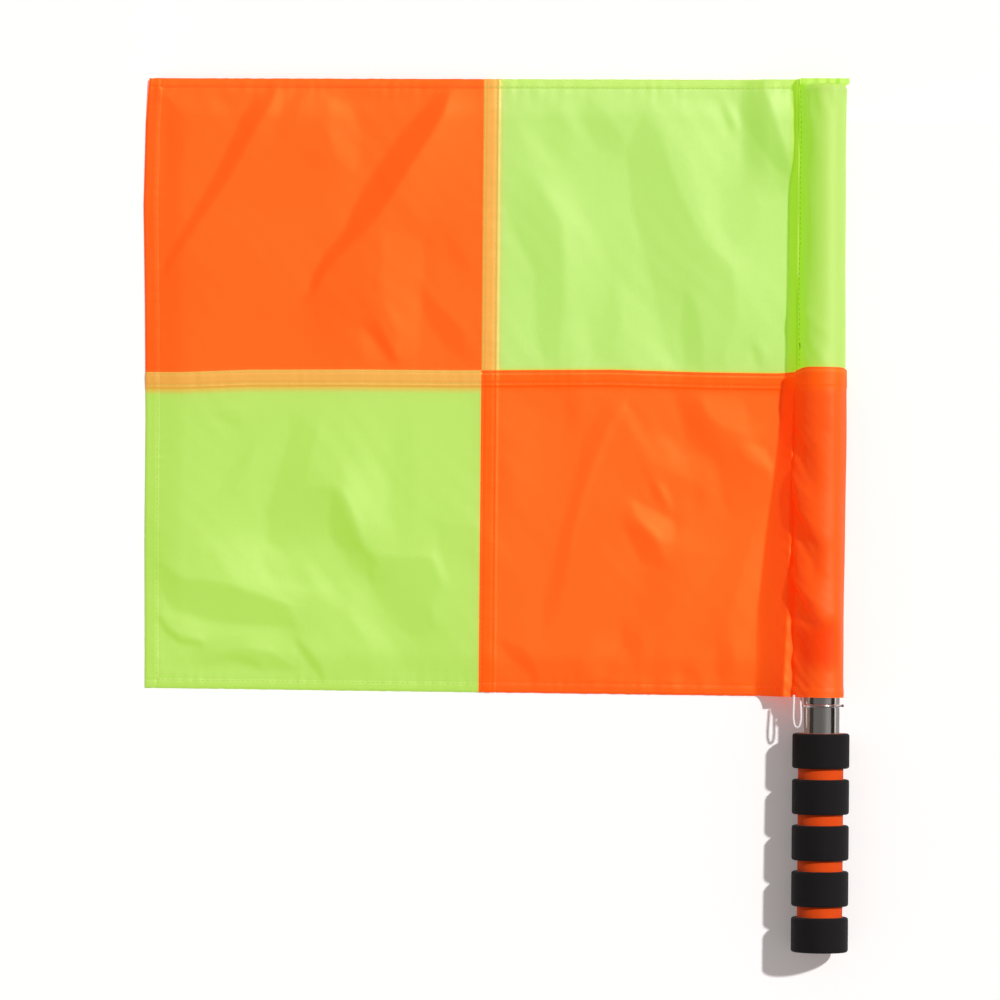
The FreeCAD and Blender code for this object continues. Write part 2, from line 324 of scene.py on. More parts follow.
curve = bpy.data.curves.new("elastic_loop_cord", "CURVE")
curve.dimensions = "3D"
spline = curve.splines.new("NURBS")
spline.points.add(len(elastic_route) - 1)
for point, place in zip(spline.points, elastic_route):
    point.co = (*(pole_frame @ Vector(place)), 1.0)
spline.order_u = 3
spline.use_endpoint_u = True
spline.resolution_u = 12
curve.bevel_depth = elastic_diameter / 2000
curve.bevel_resolution = 5
elastic = new_object("elastic_loop_cord", curve)

finish = new_finish("white_elastic")
place = finish.node("ShaderNodeTexCoord", {}, {}, output="UV")
along = finish.axis(place, "X") * strands_along
around = finish.axis(place, "Y") * strands_around
braid = finish.worked("SINE", along + around) * finish.worked("SINE", along - around)
white_elastic = finish.surface(
    {
        # The braid is painted darker where its relief is low: painted shade in its grooves.
        "Base Color": finish.mix(braid * 0.5 + 0.5, elastic_shade, elastic_white),
        "Roughness": 0.75,
        "Specular IOR Level": 0.3,
        "Normal": finish.bump(braid, 0.6, 0.00012),
    }
)
elastic.data.materials.append(white_elastic)
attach(elastic, "flag")
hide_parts("elastic_loop")


# Pole. A thin polished steel tube with fine drawing marks along it. A moulded plastic plug is
# pressed into each end.

steel_colour = (0.74, 0.725, 0.71)
plug_black = (0.018, 0.018, 0.018)
plug_grey = (0.04, 0.04, 0.041)


def refinish(name, material):
    """Gives a solid of the CAD model its finish."""
    piece = frame["nodes"][name]
    piece.data.materials.clear()
    piece.data.materials.append(material)


finish = new_finish("polished_steel")
place = finish.place()
drawn = finish.node("ShaderNodeMapping", {}, {"Vector": place, "Scale": (9.0, 0.12, 9.0)})
marks = finish.noise(drawn, 420.0, 4.0)
smudges = finish.noise(place, 90.0, 3.0)
polished_steel = finish.surface(
    {
        "Base Color": steel_colour,
        "Metallic": 1.0,
        "Roughness": marks * 0.05 + smudges * 0.08 + 0.07,
        "Normal": finish.bump(marks, 0.12, 0.00003),
    }
)
refinish("pole_tube", polished_steel)

finish = new_finish("plug_plastic")
place = finish.place()
grain = finish.noise(place, 2600.0, 2.0)
scuffs = finish.noise(place, 160.0, 5.0)
plug_plastic = finish.surface(
    {
        "Base Color": finish.mix(scuffs, plug_black, plug_grey),
        "Roughness": scuffs * 0.2 + 0.4,
        "Normal": finish.bump(grain, 0.25, 0.00005),
    }
)
refinish("tip_plug", plug_plastic)
refinish("butt_plug", plug_plastic)


# Grip. Five rings of black closed-cell foam sit on an orange foam tube, which shows in the grooves
# between them. The foam is skinned smooth with fine open pores where it was cut.

grip_ring_count = 5


def foam(name, deep, pale, pore_painted_shade):
    """Matte closed-cell foam with fine pores and a slight bloom."""
    finish = new_finish(name)
    place = finish.place()
    cells = finish.node("ShaderNodeTexVoronoi", {}, {"Vector": place, "Scale": 1500.0})
    bloom = finish.noise(place, 140.0, 5.0)
    patches = finish.noise(place, 35.0, 2.0)
    pores = finish.slope(cells, 0.1, 0.35, 1.0, 0.0)
    skin = finish.mix(bloom * 0.7 + patches * 0.3, deep, pale)
    return finish.surface(
        {
            # The pores are painted darker than the skin: painted shade in the pits.
            "Base Color": finish.mix(pores * 0.55, skin, pore_painted_shade),
            "Roughness": bloom * 0.12 + 0.76,
            "Specular IOR Level": 0.18,
            "Sheen Weight": 0.04,
            "Sheen Roughness": 0.5,
            "Normal": finish.bump(bloom - pores * 0.6, 0.5, 0.0002),
        }
    )


black_foam = foam("black_foam", (0.004, 0.0035, 0.004), (0.009, 0.008, 0.0088), (0.002, 0.0016, 0.002))
orange_foam = foam("orange_foam", (0.66, 0.055, 0.0015), (0.78, 0.08, 0.003), (0.4, 0.02, 0.001))
refinish("grip_core", orange_foam)
for ring_number in range(1, grip_ring_count + 1):
    refinish(f"grip_ring_{ring_number}", black_foam)


# Stop ring. A bright round wire is bent once round the tube in its groove, and its end stands out
# to one side.

wire_radius = 0.7
wire_end_length = 3.2
wire_end_bevel = 0.4
wire_end_middle = 11.9
wire_colour = (0.62, 0.63, 0.62)

finish = new_finish("bright_wire")
marks = finish.noise(finish.place(), 900.0, 3.0)
bright_wire = finish.surface({"Base Color": wire_colour, "Metallic": 1.0, "Roughness": marks * 0.15 + 0.14})
refinish("stop_ring", bright_wire)

origin = (0.0, 0.0, 0.0)
bpy.ops.object.select_all(action="DESELECT")
bpy.ops.mesh.primitive_cylinder_add(
    vertices=24, radius=wire_radius, depth=wire_end_length, location=origin
)
ring_end = bpy.context.object
ring_end.name = "stop_ring_end"
bpy.ops.object.mode_set(mode="EDIT")
bpy.ops.mesh.select_all(action="DESELECT")
bpy.ops.mesh.edges_select_sharp(sharpness=math.radians(60.0))
bpy.ops.mesh.bevel(offset=wire_end_bevel, segments=4, affect="EDGES")
bpy.ops.mesh.select_all(action="SELECT")
bpy.ops.transform.rotate(value=math.radians(90.0), orient_axis="Y", center_override=origin)
bpy.ops.transform.translate(value=(wire_end_middle, -stop_below_sleeve, 0.0))
bpy.ops.object.mode_set(mode="OBJECT")
ring_end.data.transform(pole_frame)
ring_end.data.shade_smooth()
ring_end.data.materials.append(bright_wire)
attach(ring_end, "stop_ring")


# Cloth quarters. Four panels of thin woven polyester, orange and yellow-green, lap over each other
# in stitched seams. Their free edges are turned twice and stitched. The cloth keeps the creases
# that it had when it was packed, and lies on the table with them.

flag_length = 417.0
flag_height = 366.5
sleeve_radius = 12.28
seam_across = 200.7
seam_up = 191.5
seam_width = 9.0
lap_right = seam_across + seam_width
lap_foot = seam_up - seam_width
fly_hem = 7.9
long_hem = 5.5
layer = 0.4
lap_gap = 0.08
table_gap = 0.1
layer_ramp = 1.2
cut_edge_drop = 0.4
cut_edge_round = 0.7
cloth_step = 1.3
thread_scale = 14000.0
slub_scale = 900.0
patch_scale = 22.0
see_through = 0.3
upper_tail = 15.34
lower_tail = 16.2
tail_drop = 2.7
lower_tail_drop = 2.5
table_at_grip = -17.0
table_climb = 0.01223755
grip_rest = -24.2

# Lines of stitching, from the fly edge and from the bottom edge.
line_inset = 1.2
fly_line = fly_hem - 0.6
bottom_line = long_hem - 0.5
top_line = flag_height - long_hem + 0.4
seam_lines_across = (seam_across + line_inset, lap_right - line_inset)
seam_lines_up = (seam_up - line_inset, lap_foot + line_inset)
stitch_draw = 0.22
stitch_draw_reach = 0.8

# The creased cloth is a patchwork of nearly flat facets. Each has its outline in millimetres from
# the fly edge and from the bottom edge, how steeply it rises, and which way, in degrees.
facets = [
    # upper fly
    ([(64, 360), (57, 344), (50, 328), (42, 310), (34, 295), (24, 277), (10, 252), (13, 250), (27, 272),
      (39, 290), (49, 305), (57, 320), (65, 336), (73, 350), (77, 362)], 0.325, -28),
    ([(170, 362), (163, 348), (150, 335), (139, 318), (132, 305), (124, 290), (118, 274), (107, 262),
      (100, 248), (97, 237), (101, 238), (107, 250), (119, 263), (131, 275), (139, 284), (149, 300),
      (158, 315), (169, 332), (177, 346), (181, 362)], 0.375, -34),
    ([(8, 352), (40, 352), (30, 335), (12, 300)], 0.05, 20),
    ([(86, 362), (95, 362), (88, 340), (80, 333), (76, 336)], 0.112, -20),
    ([(60, 287), (72, 286), (92, 302), (112, 318), (100, 324), (84, 310), (64, 300)], 0.062, 36),
    ([(108, 355), (122, 352), (129, 330), (124, 310), (113, 318), (108, 335)], -0.112, 20),
    ([(178, 352), (200, 352), (200, 290), (165, 278), (152, 298), (165, 320)], -0.062, 20),
    ([(141, 276), (166, 272), (166, 245), (163, 200), (148, 196), (150, 215), (140, 235)], -0.112, 10),
    ([(130, 219), (138, 222), (146, 206), (150, 198), (146, 197), (139, 208), (132, 215)], 0.25, 30),
    ([(163, 245), (172, 233), (190, 216), (190, 200), (180, 203), (166, 225)], 0.125, 40),
    ([(180, 272), (190, 264), (193, 250), (181, 257)], 0.088, 36),
    ([(45, 360), (57, 360), (56, 349), (48, 350)], 0.15, 36),
    ([(115, 362), (150, 362), (146, 356), (122, 355)], 0.15, 90),
    ([(100, 250), (130, 262), (132, 222), (110, 205), (96, 215)], 0.037, 36),
    ([(131, 195), (128, 212), (134, 216), (141, 200)], -0.1, 20),
    # upper hoist
    ([(296, 345), (306, 335), (318, 300), (333, 270), (350, 255), (354, 225), (346, 205), (345, 195),
      (318, 195), (312, 205), (304, 235), (298, 260), (290, 290), (286, 325)], 0.131, 20),
    ([(322, 240), (328, 235), (333, 210), (332, 195), (323, 195), (320, 215)], 0.187, 10),
    ([(300, 358), (345, 352), (352, 338), (357, 330), (360, 315), (375, 310), (384, 300), (383, 262),
      (380, 200), (366, 205), (362, 240), (352, 254), (340, 262), (333, 290), (322, 305), (312, 325),
      (303, 345)], -0.034, 30),
    ([(320, 335), (345, 335), (345, 315), (338, 295), (336, 280), (330, 290), (325, 310)], -0.043, 30),
    ([(222, 345), (232, 340), (240, 320), (255, 300), (262, 285), (275, 270), (276, 235), (268, 200),
      (256, 196), (252, 230), (250, 262), (246, 285), (235, 305), (225, 325)], -0.052, 15),
    ([(235, 300), (248, 280), (250, 240), (247, 200), (238, 196), (233, 215), (232, 250), (222, 270),
      (214, 290), (225, 300)], 0.131, 10),
    ([(262, 358), (275, 345), (285, 332), (282, 322), (268, 325), (258, 345)], 0.112, 30),
    ([(246, 358), (238, 345), (240, 325), (250, 320), (256, 330), (250, 345)], 0.075, 30),
    ([(242, 358), (252, 356), (256, 335), (252, 330), (247, 345)], -0.026, 30),
    ([(354, 366), (366, 366), (372, 350), (380, 326), (386, 308), (377, 312), (366, 326), (356, 340),
      (352, 352)], 0.288, 25),
    ([(343, 355), (348, 345), (352, 338), (348, 336), (344, 345)], 0.262, 10),
    ([(349, 352), (355, 350), (354, 338), (350, 342)], -0.052, 10),
    ([(384, 362), (389, 362), (388, 352), (385, 352)], 0.468, 20),
    ([(264, 225), (280, 240), (284, 222), (278, 196), (267, 196)], 0.094, 30),
    ([(282, 245), (295, 238), (308, 212), (312, 198), (290, 196), (284, 215)], -0.034, 30),
    ([(345, 300), (358, 308), (366, 290), (360, 272), (350, 265), (343, 280)], 0.075, 30),
    ([(363, 208), (369, 205), (368, 196), (364, 198)], 0.225, 20),
    # lower fly
    ([(74, 108), (85, 114), (98, 122), (114, 122), (120, 108), (127, 92), (131, 84), (112, 84), (98, 86),
      (84, 84), (74, 88)], 0.234, 50),
    ([(112, 118), (118, 120), (127, 98), (131, 86), (140, 78), (136, 66), (124, 70), (113, 86),
      (110, 100)], 0.328, 30),
    ([(131, 84), (150, 80), (172, 80), (178, 65), (172, 50), (174, 38), (160, 33), (148, 38), (140, 52),
      (134, 66)], 0.234, 40),
    ([(9, 76), (22, 66), (45, 64), (70, 56), (88, 50), (90, 38), (62, 38), (38, 41), (16, 48),
      (9, 60)], 0.281, 75),
    ([(7, 42), (11, 33), (20, 27), (34, 26), (34, 28), (22, 30), (13, 36), (9, 43)], 0.819, 55),
    ([(45, 85), (70, 95), (70, 80), (75, 68), (100, 62), (112, 66), (110, 58), (80, 58), (55, 64),
      (44, 75)], -0.086, 60),
    ([(9, 52), (14, 52), (20, 42), (14, 38)], -0.108, 50),
    ([(36, 38), (62, 38), (88, 34), (100, 22), (94, 20), (84, 28), (60, 30), (38, 30)], -0.065, 80),
    ([(30, 10), (42, 20), (60, 25), (76, 22), (92, 12), (90, 8), (60, 7)], 0.281, 80),
    ([(50, 18), (60, 21), (68, 18), (72, 10), (66, 9), (58, 14)], 0.281, 50),
    ([(92, 30), (98, 24), (106, 14), (108, 6), (104, 6), (100, 15), (92, 26)], 0.515, 35),
    ([(118, 135), (140, 138), (146, 115), (142, 100), (130, 98), (124, 112)], -0.065, 36),
    ([(126, 64), (132, 64), (140, 45), (150, 30), (158, 8), (140, 8), (132, 30), (122, 48)], -0.076, 20),
    ([(165, 70), (176, 72), (172, 50), (164, 52)], -0.043, 36),
    ([(148, 160), (160, 165), (162, 100), (155, 88), (147, 105)], 0.06, 5),
    ([(176, 100), (198, 100), (198, 80), (182, 70), (176, 85)], 0.117, 36),
    ([(72, 100), (80, 130), (88, 158), (104, 160), (96, 125), (86, 114), (74, 106)], 0.14, 10),
    ([(60, 120), (66, 140), (82, 165), (88, 160), (76, 125), (68, 100)], -0.054, 5),
    ([(42, 165), (58, 168), (56, 158), (46, 160)], 0.14, 50),
    ([(44, 122), (58, 142), (66, 150), (60, 130), (50, 118)], 0.117, -20),
    ([(24, 86), (32, 88), (34, 78), (26, 78)], 0.117, 36),
    ([(98, 76), (112, 78), (112, 60), (104, 58)], -0.065, 36),
    ([(96, 55), (110, 50), (108, 40), (97, 42)], 0.07, 36),
    # lower hoist
    ([(318, 178), (330, 178), (337, 165), (346, 158), (357, 157), (362, 145), (372, 138), (374, 120),
      (350, 108), (345, 118), (343, 140), (326, 144), (320, 160)], 0.121, 20),
    ([(322, 172), (330, 172), (336, 158), (344, 152), (343, 146), (326, 148), (322, 160)], 0.101, 20),
    ([(332, 176), (358, 176), (362, 160), (356, 156), (344, 158), (336, 165)], -0.121, 20),
    ([(356, 150), (372, 148), (374, 136), (366, 136), (358, 142)], -0.181, 40),
    ([(298, 150), (306, 156), (318, 150), (321, 143), (340, 143), (340, 130), (330, 127), (318, 130),
      (308, 138), (300, 136)], -0.101, 50),
    ([(286, 172), (292, 168), (300, 155), (294, 150), (288, 160)], -0.101, 20),
    ([(292, 115), (300, 112), (312, 106), (318, 102), (316, 92), (310, 90), (302, 98),
      (292, 106)], -0.222, 45),
    ([(306, 126), (312, 124), (317, 112), (313, 110)], -0.181, 20),
    ([(301, 128), (307, 124), (313, 112), (304, 116)], 0.181, 20),
    ([(288, 100), (298, 100), (308, 88), (310, 78), (298, 76), (292, 88)], 0.202, 40),
    ([(272, 170), (286, 172), (270, 140), (262, 110), (256, 85), (248, 50), (240, 38), (238, 50),
      (245, 80), (250, 100), (256, 125), (262, 150)], 0.121, -10),
    ([(286, 172), (289, 172), (276, 145), (268, 125), (262, 105), (256, 82), (253, 82), (260, 112),
      (267, 135), (277, 160)], -0.141, -15),
    ([(215, 30), (228, 26), (237, 10), (236, 4), (228, 14), (218, 22)], 0.202, 40),
    ([(212, 22), (222, 22), (232, 12), (232, 5), (212, 6)], -0.060, 40),
    ([(262, 20), (270, 32), (282, 38), (287, 36), (282, 22), (278, 10), (262, 10)], -0.121, 20),
    ([(287, 40), (296, 36), (300, 26), (292, 22), (286, 30)], 0.121, 20),
    ([(344, 30), (352, 30), (354, 16), (348, 4), (342, 14)], 0.181, 10),
    ([(324, 16), (332, 16), (332, 8), (324, 8)], 0.161, 36),
    ([(372, 112), (377, 112), (372, 90), (368, 60), (364, 35), (354, 30), (346, 32), (352, 50), (358, 75),
      (364, 95)], -0.121, 0),
    ([(302, 26), (312, 38), (340, 72), (352, 92), (350, 94), (336, 76), (308, 42),
      (298, 30)], -0.101, -30),
    ([(296, 60), (310, 80), (312, 100), (322, 110), (322, 86), (330, 70), (318, 52), (306, 36),
      (292, 40)], 0.051, -20),
    ([(332, 86), (346, 96), (344, 90), (336, 84)], -0.121, 50),
    ([(205, 130), (215, 140), (222, 120), (216, 105), (206, 105)], 0.081, 20),
    ([(250, 178), (262, 178), (258, 158), (252, 156)], 0.101, 20),
    ([(212, 172), (240, 170), (236, 160), (228, 150), (214, 150)], -0.060, 36),
    ([(212, 90), (235, 92), (228, 75), (214, 70)], -0.060, 36),
    ([(330, 125), (338, 120), (334, 112), (328, 112)], 0.121, 20),
]
crease_step = 1.0
crease_margin = 48
crease_soft = 2.0
crease_reach = 40.0
crease_rest = 2.0


def smooth(share):
    """Rises from 0 to 1 with level ends."""
    share = np.clip(share, 0.0, 1.0)
    return share * share * (3.0 - 2.0 * share)


def inside(x, y, outline):
    """Distance inside an outline, negative outside it."""
    nearest = np.full(x.shape, 1e9)
    within = np.zeros(x.shape, bool)
    for (ax, ay), (bx, by) in zip(outline, outline[1:] + outline[:1]):
        dx, dy = bx - ax, by - ay
        run = np.clip(((x - ax) * dx + (y - ay) * dy) / (dx * dx + dy * dy), 0.0, 1.0)
        nearest = np.minimum(nearest, np.hypot(x - ax - run * dx, y - ay - run * dy))
        if ay != by:
            within ^= ((ay > y) != (by > y)) & (x < ax + (y - ay) * dx / dy)
    return np.where(within, nearest, -nearest)


def crease_heights(facets, width, height, reach):
    """Heights of a whole cloth, on a grid, whose slopes come nearest to its facets' own."""
    x, y = np.meshgrid(
        np.arange(-crease_margin, width + crease_margin, crease_step),
        np.arange(-crease_margin, height + crease_margin, crease_step),
    )
    rise_x = np.zeros(x.shape)
    rise_y = np.zeros(x.shape)
    for outline, rise, bearing in facets:
        soft = float(np.clip(0.3 / abs(rise), crease_soft, 1.9 * crease_soft))
        cover = rise * smooth(0.5 + inside(x, y, outline) / (2.0 * soft))
        rise_x += cover * math.cos(math.radians(bearing))
        rise_y += cover * math.sin(math.radians(bearing))
    turn_x = 2j * np.pi * np.fft.fftfreq(x.shape[1], crease_step)[None, :]
    turn_y = 2j * np.pi * np.fft.fftfreq(x.shape[0], crease_step)[:, None]
    bend = turn_x * np.fft.fft2(rise_x) + turn_y * np.fft.fft2(rise_y)
    return np.fft.ifft2(bend / (turn_x**2 + turn_y**2 - 1.0 / reach**2)).real


creases = crease_heights(facets, flag_length, flag_height, crease_reach)


def crease(creases, across, up):
    """The creases' height at any place."""
    column = np.clip((across + crease_margin) / crease_step, 0, creases.shape[1] - 2)
    row = np.clip((up + crease_margin) / crease_step, 0, creases.shape[0] - 2)
    c = column.astype(int)
    r = row.astype(int)
    low = creases[r, c] + (creases[r, c + 1] - creases[r, c]) * (column - c)
    high = creases[r + 1, c] + (creases[r + 1, c + 1] - creases[r + 1, c]) * (column - c)
    return low + (high - low) * (row - r)


def gathers(along, seed):
    """Uneven small waves along a line of stitching."""
    wander = 1.7 * np.sin(along / 8.3 + seed) + 1.1 * np.sin(along / 19.0 + 2.0 * seed)
    swell = 0.55 + 0.45 * np.sin(along / 11.7 + 3.0 * seed)
    return swell * np.sin(along / 1.15 + wander) + 0.6 * np.sin(along / 2.3 + wander * 1.6 + seed)


def gathered(along, seed, off, reach):
    """Those waves beside the line of stitching, fading with the distance off it."""
    return (1.0 + gathers(along, seed)) * np.exp(-np.abs(off) / reach)


# Each pair is where a rise starts, and its width.
tip_corner_rise = 3.4
tip_corner_across = (354.0, 18.0)
tip_corner_up = (295.0, 35.0)
ruffle_height = 0.3
ruffle_across = (240.0, 40.0)
streak_height = 0.018
hem_gathers = 0.1
fly_gathers = 0.08
seam_gathers = 0.05


def rising(place, start_and_width):
    """Rises from 0 to 1 from a start on, over a width."""
    start, width = start_and_width
    return smooth((place - start) / width)


def lift(across, up):
    """How high the creases and gathers raise the cloth. Places are from the fly and bottom edges."""
    top = flag_height - up
    edge = np.minimum(np.minimum(across, up), top)
    height = crease(creases, across, up) * (0.4 + 0.6 * smooth(edge / 14.0))
    height += crease_rest * smooth(edge / 24.0)
    height = 0.5 * (height + np.sqrt(height**2 + 0.4))
    # The corner by the pole's tip stands highest.
    height += tip_corner_rise * rising(across, tip_corner_across) * rising(up, tip_corner_up)
    # Slow and quick undulations, livelier in the lower hoist.
    slow = np.sin(across / 21.0 + up / 33.0 + 1.0) * np.sin(up / 27.0 - across / 47.0 + 2.0)
    quick = np.sin(across / 9.0 - up / 17.0) * np.sin(up / 13.0 + across / 31.0 + 0.7)
    lively = 1.0 + 1.3 * smooth((across - 195.0) / 12.0) * smooth((200.0 - up) / 12.0)
    height += (0.25 * (1.0 + slow) + 0.06 * (1.0 + quick) * lively) * smooth(edge / 10.0)
    # The bottom hem ruffles towards the pole.
    ruffle = 1.0 + np.sin(across / 3.7 + 1.6 * np.sin(across / 23.0)) * np.sin(across / 14.0 + 1.0)
    height += ruffle_height * ruffle * rising(across, ruffle_across) * np.exp(-np.abs(up - 8.0) / 9.0)
    # Fine streaks from the cloth's folding.
    streaks = np.sin((0.77 * across + 0.64 * up) / 2.1 + 1.4 * np.sin((across - up) / 26.0))
    height += streak_height * streaks * (1.0 + slow)
    height += hem_gathers * gathered(across, 0.4, top - long_hem, 5.0)
    height += hem_gathers * gathered(across, 1.9, up - long_hem, 5.0)
    height += fly_gathers * gathered(up, 2.7, across - fly_hem, 4.0)
    for line in seam_lines_up:
        height += seam_gathers * gathered(across, line, up - line, 3.5)
    for line in seam_lines_across:
        height += seam_gathers * gathered(up, line, across - line, 3.5)
    return height


def groove(place, line):
    """A line of stitching draws the cloth down."""
    return stitch_draw * np.exp(-(((place - line) / stitch_draw_reach) ** 2))


# The cloth's shape as it lies, at some places along it: how far the fly edge and the long seam bow,
# then where the cloth starts to climb to the sleeve and where it is highest, left of the axis.
fly_bow_up = (0.0, 95.0, 165.0, 235.0, 290.0, 340.0, 366.5)
fly_bow = (1.0, 0.2, 0.2, -0.9, -2.2, -1.3, 0.5)
seam_bow_share = (0.0, 0.05, 0.15, 0.3, 0.45, 0.55, 0.67, 0.8, 0.93, 1.0)
seam_bow = (-1.8, -1.8, 0.0, 0.6, 0.6, 1.2, 1.8, 0.6, 0.3, 0.0)
slope_foot_up = (0.0, 52.0, 100.0, 142.0, 166.0, 181.0, 192.0, 299.0, 317.0, 340.0, 366.5)
slope_foot = (39.3, 37.5, 32.7, 27.3, 25.0, 24.3, 22.0, 21.0, 18.5, 17.5, 17.5)
slope_crest_up = (0.0, 60.0, 140.0, 180.0, 192.0, 366.5)
slope_crest = (23.0, 20.3, 18.9, 17.6, 15.9, 15.9)
top_slant = 2.4
bottom_slant = 1.9


def table_below(up):
    """Height of the table below the pole's axis."""
    return table_at_grip + (up - grip_rest) * table_climb


def at_seam(up):
    """0 on the lower cloth and 1 on the upper cloth, with a short change at the seam."""
    return smooth((up - seam_up + 3.0) / 6.0)


def tail(up):
    """Where the cloth is stitched to itself round the pole, left of the axis."""
    belly = 0.4 * np.exp(-(((up - 120.0) / 70.0) ** 2))
    return lower_tail + belly + (upper_tail - lower_tail - belly) * at_seam(up)


def drop(up):
    """How far below the pole's axis that stitching hangs."""
    lower_drop = lower_tail_drop - 1.3 * smooth((26.0 - up) / 26.0)
    return lower_drop + (tail_drop - lower_drop) * at_seam(up)


def skewed(x, up):
    """The cloth was cut and sewn a little out of square."""
    share = (x - sleeve_radius) / flag_length + 1.0
    level = up / flag_height
    bow = np.interp(share, seam_bow_share, seam_bow) * np.exp(-(((up - seam_up) / 50.0) ** 2))
    return up + bow + level * (top_slant * share - 1.2) - (1.0 - level) * (bottom_slant * share - 0.6)


def panel_top(name, across, up):
    """Height of a panel's upper face over the pole's axis."""
    hem = np.minimum(np.minimum(across - fly_hem, up - long_hem), flag_height - up - long_hem)
    layers = 1.0 + smooth(0.5 - hem / layer_ramp)
    over_seam = smooth((lap_right - across) / layer_ramp + 1.0)
    under_seam = smooth((up - lap_foot) / layer_ramp + 1.0)
    laps = {
        "upper_fly": 0.0,
        "upper_hoist": over_seam,
        "lower_fly": under_seam,
        "lower_hoist": over_seam + under_seam,
    }[name]
    height = table_below(up) + table_gap + lift(across, up) + laps * (layer + lap_gap) + layers * layer
    for line in (fly_line, *seam_lines_across):
        height -= groove(across, line)
    for line in (bottom_line, top_line, *seam_lines_up):
        height -= groove(up, line)
    # The panels' own edges, rounded down onto what lies below.
    edge = np.minimum(np.minimum(across, up), flag_height - up)
    height -= 1.5 * layer * (1.0 - smooth(edge / 0.9))
    if name.startswith("lower"):
        height -= cut_edge_drop * (1.0 - smooth((seam_up - up) / cut_edge_round))
    if name.endswith("fly"):
        return height
    height -= cut_edge_drop * (1.0 - smooth((across - seam_across) / cut_edge_round))
    # Beside the pole the cloth climbs from a foot to a crest, and turns down to its stitching.
    foot = np.interp(up, slope_foot_up, slope_foot)
    crest = np.interp(up, slope_crest_up, slope_crest)
    x = across + sleeve_radius - flag_length
    climb = np.clip((x + foot) / (foot - crest), 0.0, 1.0) ** (1.15 + 0.3 * smooth((70.0 - up) / 60.0))
    past = smooth((x + crest) / (crest - tail(up)))
    pucker = np.sin((up + 0.9 * x) / 1.5 + 1.7 * np.sin(up / 12.0) + 1.2 * np.sin(up / 31.0 + 2.0))
    pucker += 0.6 * np.sin((up - 0.3 * x) / 2.6 + 1.3 * np.sin(up / 19.0 + 1.0))
    pucker *= (0.26 - 0.2 * at_seam(up)) * (0.4 + 0.6 * smooth((up - 20.0) / 80.0))
    stitched = (pucker + 0.08 * gathers(up, 3.3)) * smooth((x + crest + 7.0) / 6.0) * (1.0 - past)
    lip = 0.45 + 0.35 * at_seam(up)
    return height * (1.0 - climb) + (1.0 - drop(up) + stitched) * climb - lip * past


def panel_spots(name, across, up):
    """Points of a panel's upper face, in millimetres in the pole's frame."""
    x = across + sleeve_radius - flag_length + np.interp(up, fly_bow_up, fly_bow) * np.exp(-across / 60.0)
    y = up + 0.08 * gathers(across, 0.9) * (np.exp(-(flag_height - up) / 3.0) + np.exp(-up / 3.0))
    if name == "lower_hoist":
        y = y + 0.7 * smooth((x + 28.0) / 12.0) * smooth((up - seam_up + 25.0) / 25.0)
    return np.stack((x, skewed(x, y), panel_top(name, across, up)), axis=-1)


def places(low, high, coarse, near):
    """Places from low to high, closer together near some lines."""
    found = [low]
    while found[-1] < high - 0.2:
        gap = min(abs(found[-1] + 0.3 - line) for line in near)
        found.append(found[-1] + (0.35 if gap < 1.0 else 0.7 if gap < 6.0 else coarse))
    found[-1] = high
    return np.array(found)


def flag_piece(name, spots, faces, material):
    """A piece of the flag, from places in the pole's frame."""
    piece = meshed(name, spots.reshape(-1, 3).tolist(), faces)
    piece.data.transform(pole_frame)
    piece.data.shade_smooth()
    piece.data.materials.append(material)
    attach(piece, "flag")
    return piece


def woven_sheet(name, spots, flat, material, solid):
    """A sheet of cloth from rows of places, with its own flat size as its UV map. It takes the
    place of one of the CAD model's solids."""
    rows, columns, _ = spots.shape
    number = np.arange(rows * columns).reshape(rows, columns)
    faces = np.stack((number[:-1, :-1], number[:-1, 1:], number[1:, 1:], number[1:, :-1]), axis=-1)
    faces = faces.reshape(-1, 4)
    piece = flag_piece(name, spots, faces.tolist(), material)
    cut = piece.data.uv_layers.new(name="cut")
    cut.data.foreach_set("uv", (flat.reshape(-1, 2)[faces.ravel()] * 0.001).ravel())
    piece.data.validate()
    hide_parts(solid)
    return piece


def band(finish, value, low, high, soft, soft_high=None):
    """1 where a place on the cloth lies between two others, in millimetres, with soft edges."""
    soft_high = soft if soft_high is None else soft_high
    into = finish.slope(value, (low - soft) / 1000, (low + soft) / 1000, 0.0, 1.0)
    out = finish.slope(value, (high - soft_high) / 1000, (high + soft_high) / 1000, 1.0, 0.0)
    return into * out


